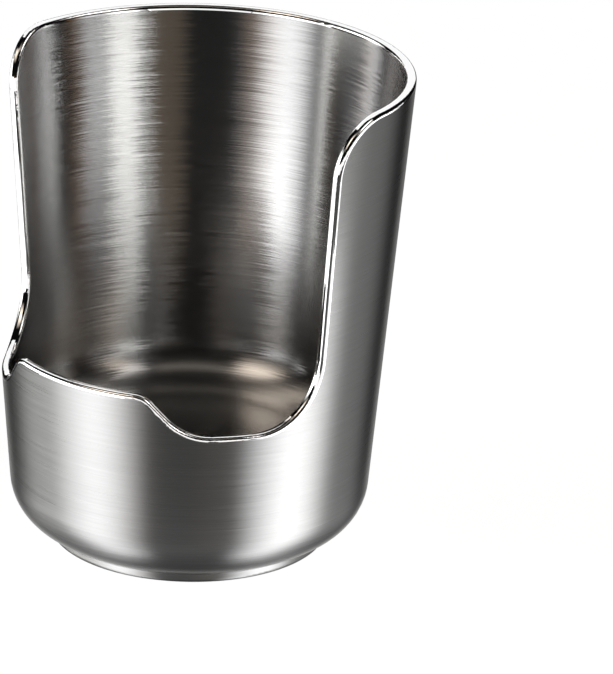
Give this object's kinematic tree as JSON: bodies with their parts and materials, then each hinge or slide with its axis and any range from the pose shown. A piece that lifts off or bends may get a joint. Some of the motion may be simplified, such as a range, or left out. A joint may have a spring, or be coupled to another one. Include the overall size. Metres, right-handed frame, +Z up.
{
  "type": "utensil holder",
  "caption": "Tapered double-skinned steel utensil holder with a contoured low front that a pan lid can lean on, and a weighted base.",
  "frame": {"origin": "centre of the pad's flat underside, on the table", "axes": "+Z up along the cup's axis, -Y towards the cut-away front, X across the plane of symmetry"},
  "size_m": [0.1298, 0.1232, 0.148],
  "materials": {
    "outer_shell": "brushed round the cup",
    "inner_liner": "brushed round the cup",
    "rim_band": "polished",
    "base_cap": "fine brushed",
    "base_weight": "as cast",
    "base_pad": "matt"
  },
  "bodies": {
    "root": {"outer_shell": "outer_shell", "inner_liner": "inner_liner", "rim_band": "rim_band", "base_cap": "base_cap", "base_weight": "base_weight", "base_pad": "base_pad"}
  },
  "joints": []
}
